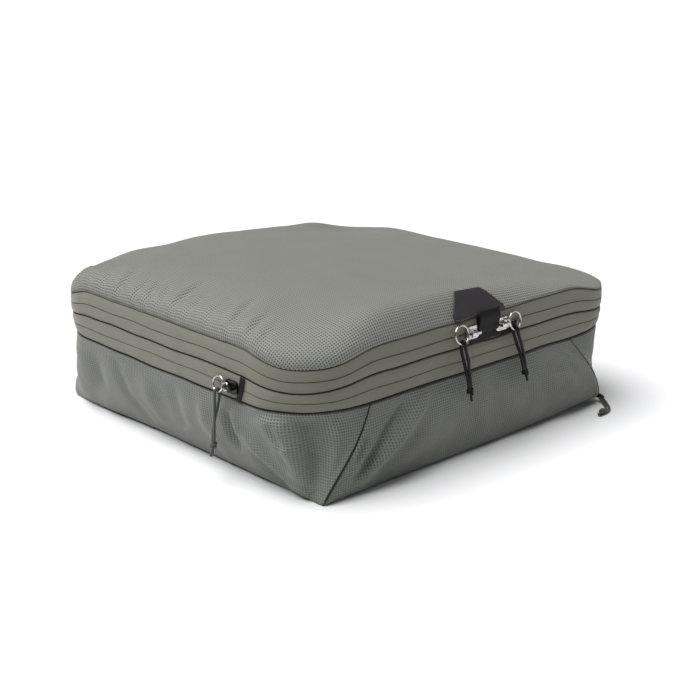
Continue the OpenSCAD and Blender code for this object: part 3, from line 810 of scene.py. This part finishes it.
# Each crease: its route along and up the wall, its height (or depth, if negative) and its width.
front_creases = [
    (((12, 6), (22, 14), (31, 28), (41, 44), (57, 62)), 5.2, 6), (((26, 4), (44, 24), (58, 44)), -3.4, 8),
    (((12, 12), (18, 28), (24, 44), (36, 60)), -4.0, 5), (((6, 8), (10, 24), (13, 40)), 1.8, 4),
    (((30, 2), (70, 14), (110, 20)), -1.8, 9), (((84, 30), (90, 60)), 1.3, 9),
    (((120, 20), (118, 60)), -1.2, 8), (((150, 8), (146, 58)), 1.3, 11),
    (((206, 2), (192, 20), (184, 44)), 2.2, 8), (((190, 2), (172, 18), (160, 40)), -1.8, 8),
    (((206, 26), (198, 60)), 1.4, 5), (((212, 34), (206, 62)), -1.4, 4)]
front_pinches = [(((2.5, 47), (3, 38), (2.5, 28)), 1.7, 1.3), (((5.5, 46), (6, 38), (5.5, 29)), -1.3, 1.6)]
right_creases = [
    (((8, 4), (40, 30), (60, 56)), 2.4, 7), (((10, 3), (50, 20), (84, 38)), -1.8, 6),
    (((120, 10), (112, 56)), 1.1, 9), (((180, 6), (196, 52)), -1.1, 8), (((250, 12), (236, 58)), 1.0, 8),
    (((372, 4), (340, 30), (322, 56)), 2.2, 8), (((366, 6), (346, 58)), -1.5, 6)]
back_creases = [
    (((6, 4), (24, 30), (40, 58)), 2.2, 7), (((60, 10), (66, 58)), -1.0, 8),
    (((110, 6), (102, 54)), 1.1, 10), (((160, 10), (168, 56)), -0.9, 8),
    (((206, 4), (190, 30), (176, 56)), 2.2, 8)]
# The left wall's creases are measured back from the front corner seam.
left_creases = [
    (((84, 63), (63, 48), (53, 37), (38, 22), (17, 7)), 9.0, 9.0),
    (((56, 64), (42, 48), (31, 32), (14, 12)), -7.4, 10), (((74, 56), (57, 38)), -3.4, 3.0),
    (((64, 38), (46, 22)), -2.6, 3.0), (((30, 60), (22, 44), (10, 20)), 2.4, 5),
    (((102, 43), (88, 34), (70, 23), (41, 8), (12, 2)), 3.4, 4.0), (((88, 26), (66, 12), (40, 3)), -2.4, 5),
    (((123, 54), (111, 34), (101, 22)), -4.6, 4.5), (((112, 58), (101, 38)), 2.4, 4),
    (((150, 60), (144, 34), (120, 8)), 2.2, 8), (((186, 60), (178, 20)), -2.0, 8),
    (((226, 56), (214, 10)), 1.8, 9), (((262, 60), (258, 30), (240, 6)), -2.4, 7),
    (((306, 60), (330, 34), (372, 6)), 2.4, 9), (((284, 58), (300, 30), (340, 6)), -1.8, 7)]

SEAM_HALF = 0.25                # half the gap that a corner seam covers, at the top
SIDE_END = DART_X + SEAM_HALF
FRONT_END = DART_X - SEAM_HALF
LEFT_SPAN = (back_at(-FRONT_END), front_at(-SIDE_END) + PERIMETER)
LEFT_LEN = LEFT_SPAN[1] - LEFT_SPAN[0]
left_creases = [(tuple((LEFT_LEN - u, v) for u, v in route), height, width)
                for route, height, width in left_creases]
wall("front_panel", "front_wall", (front_at(-FRONT_END), front_at(FRONT_END)),
     ((-BASE_X + 1.3, -BASE_Y), (BASE_X - 1.3, -BASE_Y)), front_creases, front_pinches, CORNER_RISE)
wall("right_panel", "right_wall", (front_at(SIDE_END), back_at(SIDE_END)),
     ((BASE_X, -BASE_Y + 0.6), (BASE_X, BASE_Y - 0.6)), right_creases, rises=CORNER_RISE)
wall("back_panel", "back_wall", (back_at(FRONT_END), back_at(-FRONT_END)),
     ((BASE_X - 1.3, BASE_Y), (-BASE_X + 1.3, BASE_Y)), back_creases)
wall("left_panel", "left_wall", LEFT_SPAN,
     ((-BASE_X, BASE_Y - 0.6), (-BASE_X, -BASE_Y + 0.6)), left_creases)


def corner_seam_route(sign_x, sign_y):
    """The line of a corner seam, from the base corner up to the lower seam."""
    base = np.array([sign_x * (BASE_X - 0.6), sign_y * (BASE_Y - 0.3)])
    top = np.array([sign_x * DART_X, sign_y * (HALF_D - 0.5)])
    corner_dir = np.array([sign_x, sign_y]) / math.sqrt(2)
    route = []
    for t in np.linspace(0, 1, 24):
        direction = unit(mix(corner_dir, np.array([0, sign_y]), t))
        flat = mix(base, top, t)
        push = WALL_BULGE * math.sin(math.pi * t) + swells(*flat, CORNER_FULLNESS) * low_share(t)
        x, y = flat + direction * (push - 0.85 - foot_tuck(t))
        lift = swells(x, y, CORNER_RISE) * (1 - t) ** 1.5
        route.append(Vector((x, y, mix(1.2, 62.4, t) + lift)))
    return route


# The corner seams are thin near-black tubes: painted shade in the seam folds.
strips = [tube("corner_seam", corner_seam_route(sx, sy), 0.7 if sx + sy < 0 else 0.45, 10)
          for sx in (-1, 1) for sy in (-1, 1)]
finish(join("corner_seam_edges", strips), "base", "corner_seams", [thread_and_seam_shade_cloth])

anchor_route = [(144, -145.5, 6.5), (147.4, -149.6, 5.6), (149, -152.4, 4.6), (149.2, -154.4, 3.4)]
anchor = tube("corner_loop_anchor", smooth_route(anchor_route, 0.5), 1.9, 14, tip=0.8)
finish(anchor, "base", None, [thread_and_seam_shade_cloth])


def base_sheet():
    """The flat bottom: rounded edge, a little slack in the middle."""
    steps = np.linspace(-1, 1, 61)
    u, v = np.tile(steps, len(steps)), np.repeat(steps, len(steps))
    x, y = u * (BASE_X - 2.4), v * (BASE_Y - 2.4)
    rim = np.maximum(np.abs(u), np.abs(v))
    z = 0.15 + 1.6 * np.maximum(0, (rim - 0.97) / 0.03) ** 2
    z += np.maximum(0, 1 - rim) ** 0.5 * (0.5 + slack(x, y, 0, 40, 0.6)) + swells(x, y, CORNER_RISE)
    full = swells(x, y, CORNER_FULLNESS) * low_share(0) * np.maximum(0, (rim - 0.6) / 0.4)
    full /= np.sqrt(u ** 2 + v ** 2 + 0.0001)
    faces = [tuple(reversed(face)) for face in grid_faces(len(steps), len(steps))]
    points = np.column_stack([x + full * u, y + full * v, z])
    piece = mesh_piece("base_cloth", points, faces, np.column_stack([x, y]))
    finish(piece, "base", "base_panel", [shaded_sage_cloth, lining], CLOTH_T)


base_sheet()

# ---- lid

CROWN_H = 23.0
CROWN_POWER = 1.46
CROWN_EDGE = 0.39
CROWN_LEAN = -0.75
CROWN_LIFT = 5.0
FRONT_FULL, FRONT_REACH = 0.93, 12.5     # the steeper slope under and beside the tab
RIM_HOLD = 4
RIM_X = HALF_W + TOP[2]
RIM_Y = HALF_D + TOP[2]
FRONT_RIM_Z = TOP[0] + PIPING_HALF + TOP[1] * FRONT_BOW
# Places where the filled lid stands higher or lower than its plain crown: x, y, reach, height.
LID_SWELLS = ((-106, 130, 46, -5.0), (-5, 130, 60, 2.2), (112, 136, 48, -5.0), (-162, 122, 24, 6.0),
              (60, -20, 80, 1.5), (-70, 20, 60, -1.0))
# Furrows that run in from the left seam: first point, last point, depth, width.
LEFT_FURROWS = (
    ((-186, 48), (-142, 64), 2.3, 3.2), ((-186, 27), (-147, 39), 2.0, 2.8),
    ((-186, 10), (-144, 28), 1.9, 2.8), ((-184, -2), (-150, 11), 1.2, 2.8),
    ((-186, -18), (-132, -5), 2.2, 3.0), ((-184, -34), (-142, -27), 1.2, 3.0),
    ((-184, -58), (-144, -49), 1.3, 3.2), ((-186, -88), (-130, -63), 1.8, 3.2),
    ((-186, -106), (-140, -90), 1.7, 3.2), ((-184, -118), (-148, -106), 1.1, 3.0),
    ((-186, 71), (-150, 83), 1.5, 3.2), ((-184, 89), (-150, 101), 1.4, 3.4),
    ((-182, 112), (-148, 112), 1.1, 3.6))


def crown(share, x, y):
    """Height of the filled lid above its seam; share is the way out to the seam."""
    plain = (1 - share ** CROWN_POWER) ** CROWN_EDGE
    inside = np.maximum(RIM_Y + y, 0)
    sloped = FRONT_FULL * np.tanh(inside / FRONT_REACH)
    near_front = np.exp(-(inside / 40) ** 2) * np.exp(-((x + 15) / 90) ** 4)
    return CROWN_H * (1 + CROWN_LEAN * x / HALF_W) * mix(plain, sloped, near_front)


def lid_height(share, rim_z, x, y):
    hold = np.clip((1 - share) / 0.08, 0, 1)
    seam = mix(TOP[0] + CROWN_LIFT, rim_z, share ** RIM_HOLD)
    return seam + crown(share, x, y) + swells(x, y, LID_SWELLS) * hold


pucker_rng = np.random.default_rng(7)
# Small puckers along the left seam: y, height, width, reach and skew.
SEAM_PUCKERS = [
    (y + pucker_rng.uniform(-2, 2), pucker_rng.uniform(0.08, 0.28), pucker_rng.uniform(1.6, 2.6),
     pucker_rng.uniform(5, 12), pucker_rng.uniform(-0.25, 0.25)) for y in np.arange(-124, 136, 6.5)]


def left_wrinkles(x, y):
    """Furrows and small puckers that run in from the left seam."""
    inside = RIM_X + x
    total = np.zeros_like(x)
    for place, height, width, reach, skew in SEAM_PUCKERS:
        away = y - place - skew * inside
        total += height * np.exp(-(away / width) ** 2) * np.exp(-inside / reach) * np.clip(inside / 4, 0, 1)
    for first, last, depth, width in LEFT_FURROWS:
        total += crease(x, y, (first, last), -depth, width, 1.7)
        beside = ((first[0], first[1] + 2 * width), (last[0], last[1] + 2 * width))
        total += crease(x, y, beside, 0.5 * depth, 1.2 * width, 1.7)
    return total


LID_CLOTH_T = 0.9
LID_RINGS = 78


def lid_piece():
    """The crowned top panel, built as rings from its seam inwards."""
    distance = around(2.0)
    rim = seam_points(distance, TOP, TOP_GAP)
    rings = [seam_points(distance, TOP, TOP_GAP, -1.15), seam_points(distance, TOP, TOP_GAP + 0.15, -0.3)]
    for share in 1 - np.linspace(0, 0.985, LID_RINGS) ** 1.6:
        x, y = rim[:, 0] * share, rim[:, 1] * share
        soft = slack(x, y, 3.0, 60, 1.6) + slack(x, y, 9.0, 24, 0.7)
        hold = np.clip((1 - share) / 0.1, 0, 1)
        rings.append(np.column_stack([x, y, lid_height(share, rim[:, 2], x, y) + soft * hold]))
    rings = np.stack(rings)
    count = len(distance)
    normals = unit(np.cross(np.roll(rings, -1, 1) - np.roll(rings, 1, 1), np.gradient(rings, axis=0)))
    wrinkles = left_wrinkles(rings[:, :, 0], rings[:, :, 1])
    wrinkles *= np.clip((np.arange(len(rings)) - 1) / 8, 0, 1)[:, None]
    rings = rings + normals * wrinkles[:, :, None]
    steps = np.diff(rings, axis=0)
    # The cloth is longer than its plan where it slopes, so its coordinates reach further out.
    surplus = np.linalg.norm(steps, axis=2) - np.linalg.norm(steps[:, :, :2], axis=2)
    surplus = np.vstack([np.cumsum(surplus[::-1], axis=0)[::-1], np.zeros(count)])
    surplus = np.mean([np.roll(surplus, k, 1) for k in range(-14, 15)], axis=0)
    cloth = rings[:, :, :2] + outline(distance)[None, :, 2:] * surplus[:, :, None]
    middle = np.array([[0, 0, rings[-1][:, 2].mean()]])
    points = np.vstack([rings.reshape(-1, 3), middle])
    uvs = np.vstack([cloth.reshape(-1, 2), [[0, 0]]])
    faces = grid_faces(len(rings), count, wrap_columns=True)
    last = (len(rings) - 1) * count
    faces += [(last + k, last + (k + 1) % count, len(points) - 1) for k in range(count)]
    piece = mesh_piece("lid_cloth", points, faces, uvs)
    finish(piece, "lid", "top_panel", [lid_cloth, lining], LID_CLOTH_T)


lid_piece()

# ---- tab, strap and patch

STRAP_X = 4.5
TAB_X, TAB_W, TAB_TOP_W = -2.2, 52.0, 25.5
TAB_REACH, TAB_SIDE, TAB_DROP = 13.5, 1.5, 0.3
TAB_LIFT = 1.25                 # how far the tab's outside stands off the lid
TAB_HEM_ROWS = 4


def lid_front(x, inside):
    """The lid's surface at the front, as y and z, some way in from the seam."""
    share = 1 - inside / RIM_Y
    return np.array([-RIM_Y * share, lid_height(share, FRONT_RIM_Z, x * share, -RIM_Y * share)])


def tab_piece():
    """The stiff black tab: it lies on the lid's front edge and ends at the seam."""
    columns, rows = 53, 26
    points, uvs = [], []
    for r in range(rows):
        for dx in np.linspace(-TAB_W / 2, TAB_W / 2, columns):
            narrow = (abs(dx) - TAB_TOP_W / 2) / (TAB_W / 2 - TAB_TOP_W / 2)
            slope = 1.4 if dx > 0 else 1.0
            reach = mix(TAB_SIDE, TAB_REACH, (1 - min(max(narrow, 0), 1)) ** slope)
            if r < TAB_HEM_ROWS:
                y, z = -(RIM_Y + 1.15), FRONT_RIM_Z - TAB_DROP + 0.55 * r
            else:
                inside = 0.2 + reach * (r - TAB_HEM_ROWS) / (rows - 1 - TAB_HEM_ROWS)
                x = TAB_X + dx
                y, z = lid_front(x, inside)
                along = unit(lid_front(x, inside + 0.5) - lid_front(x, max(inside - 0.5, 0)))
                y, z = y - along[1] * TAB_LIFT, z + along[0] * TAB_LIFT
            points.append((TAB_X + dx, y, z))
            uvs.append((dx, r * 1.2))
    piece = mesh_piece("front_tab", points, grid_faces(rows, columns), uvs)
    finish(piece, "lid", "pull_tab", [black_patch, black_patch], 1.0)


tab_piece()

MAIN_FRONT_Z = MAIN[0] + MAIN[1] * FRONT_BOW
STRAP_W = 21.0
STRAP_HALF = 0.65               # half the webbing's thickness


def strap_piece():
    """A webbing loop that comes out from under the tab, swells and folds back at the zip."""
    low, high = MAIN_FRONT_Z - 2.6, FRONT_RIM_Z + 1.0
    route = [(-155.9, high + 1.6), (-156.9, high + 0.6), (-157.9, high - 1.0), (-158.3, high - 3.0),
             (-158.1, high - 5.4), (-157.4, high - 7.8), (-156.8, low + 1.6), (-156.2, low + 0.7),
             (-155.6, low + 1.5), (-155.5, low + 3.5), (-155.5, high - 4), (-155.4, high - 0.6)]
    line = np.array([tuple(p)[1:] for p in smooth_route([(0, y, z) for y, z in route], 0.7)])
    along = unit(np.gradient(line, axis=0))
    side = np.column_stack([along[:, 1], -along[:, 0]]) * STRAP_HALF
    profile = np.vstack([line + side, (line - side)[::-1]])
    places = np.linspace(STRAP_X - STRAP_W / 2, STRAP_X + STRAP_W / 2, 37)
    sections = np.array([[(x, y, z) for y, z in profile] for x in places])
    piece = swept("strap_loop", sections, False, places, section_widths(sections))
    finish(piece, "lid", "tab_strap", [black_webbing])


strap_piece()


def garage_piece():
    """The dark patch sewn on the lower tape behind the two sliders."""
    low = MIDDLE[0] + MIDDLE[1] + PIPING_HALF + 0.2
    high = MAIN_FRONT_Z - ZIP_GAP
    columns, rows = 35, 8
    points, uvs = [], []
    for v in np.linspace(0, 1, rows):
        y = -(HALF_D + MAIN[2] + 0.52) - 0.105 * math.sin(math.pi * v)
        for x in np.linspace(-13, 38, columns):
            points.append((x, y, mix(low, high, v)))
            uvs.append((x, v * (high - low)))
    piece = mesh_piece("zip_garage", points, grid_faces(rows, columns), uvs)
    finish(piece, "band", "zip_garage_strip", [black_webbing, black_webbing], 0.45)


garage_piece()


def left_at(y):
    """Distance along the outline of a point of the left side."""
    return PERIMETER - ARC_LEN - SIDE_LEN / 2 - y


END_STRIP_W = 5.0


def zip_end_patch(name, low, high, lean, body):
    """Half of the dark strip sewn over the compression zip's tapes, next to its slider."""
    front_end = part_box("compression_slider")[0][1] / MM - 0.3
    rows, columns = 9, 7
    steps = np.linspace(0, 1, columns)
    points, uvs = [], []
    for v in np.linspace(0, 1, rows):
        edges = left_at(front_end - mix(*lean, v) - steps * END_STRIP_W)
        row = mix(seam_points(edges, *low, 1.15), seam_points(edges, *high, 1.15), v)
        row[:, 0] -= 0.25 * np.sin(math.pi * steps)
        points += row.tolist()
        uvs += [(k, v * 10) for k in steps * END_STRIP_W]
    piece = mesh_piece(name, points, grid_faces(rows, columns), uvs)
    finish(piece, body, None, [black_webbing, black_webbing], 0.7)


zip_end_patch("compression_zip_end_lower", (LOWER, 0.2), (COMPRESSION, -0.1), (-5.0, 0.3), "base")
zip_end_patch("compression_zip_end_upper", (COMPRESSION, 0.1), (MIDDLE, -0.2), (0.3, 3.2), "band")

# ---- fabric that joins the moving parts


def bellows():
    """The folded bellows behind the compression zip, which opens as the cube expands."""
    distance = around()
    folds = 3
    profile = [(t, -4.4 - 1.5 * (0.5 - 0.5 * math.cos(2 * math.pi * folds * t)))
               for t in np.linspace(0, 1, folds * 12 + 1)]
    inner = [(t, out - 0.7) for t, out in reversed(profile)]
    low, high = (LOWER, PIPING_HALF + 0.5), (MIDDLE, -PIPING_HALF - 0.5)
    sections = band_sections(distance, low, high, profile, inner)
    widths = np.linspace(0, 120, sections.shape[1])
    piece = swept("expansion_bellows", sections, True, distance, widths)
    finish(piece, None, "expansion_gusset", [shaded_sage_cloth])
    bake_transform(piece)


bellows()


def hinge_strip():
    """The fabric strip across the rear, from the middle seam up to the lid."""
    distance = between(back_at(HINGE_HALF + 1.5), back_at(-HINGE_HALF - 1.5))
    shares = np.linspace(0, 1, 25)
    edges = np.exp(-shares / 0.04) + np.exp(-(1 - shares) / 0.04)
    profile = list(zip(shares, 0.5 * np.sin(math.pi * shares) - 0.7 * edges))
    inner = [(t, out - 0.9) for t, out in reversed(profile)]
    low, high = (MIDDLE, PIPING_HALF - 0.2), (TOP, -PIPING_HALF + 0.2)
    sections = band_sections(distance, low, high, profile, inner)
    piece = swept("rear_hinge_cloth", sections, False, distance, section_widths(sections))
    finish(piece, None, "rear_hinge_strip", [tape_cloth])
    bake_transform(piece)


hinge_strip()

# ---- metal from the CAD model


def metal(node, material, bevel):
    """A CAD node in metal, with rounded edges."""
    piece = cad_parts[node]
    piece.data.materials.clear()
    piece.data.materials.append(material)
    edge = piece.modifiers.new("edge", "BEVEL")
    edge.width = bevel * MM
    edge.segments = 3
    edge.limit_method = "ANGLE"
    edge.angle_limit = math.radians(35)
    piece.data.polygons.foreach_set("use_smooth", [True] * len(piece.data.polygons))


SLIDER_BEVEL = 0.28
RING_BEVEL = 0.05
for node in ("main_slider_left", "main_slider_right", "zip_end_stops"):
    metal(node, bright_steel, SLIDER_BEVEL)
metal("compression_slider", dark_steel, SLIDER_BEVEL)
for node in ("main_ring_left", "main_ring_right", "compression_ring"):
    metal(node, bright_steel, RING_BEVEL)

# ---- studio floor


def studio_floor():
    """A large white floor, which is part of the studio and not of the object."""
    reach = 6.0
    mesh = bpy.data.meshes.new("floor")
    mesh.from_pydata([(-reach, -reach, 0), (reach, -reach, 0), (reach, reach, 0), (-reach, reach, 0)], [],
                     [(0, 1, 2, 3)])
    material, nodes = node_material("floor_white")
    place = nodes.add("ShaderNodeTexCoord").outputs["Object"]
    nodes.paint(nodes.blend(nodes.noise(place, 2.0), (0.75, 0.75, 0.76), (0.765, 0.765, 0.775)))
    nodes.set(Roughness=0.6)
    mesh.materials.append(material)
    new_object("floor", mesh)


studio_floor()
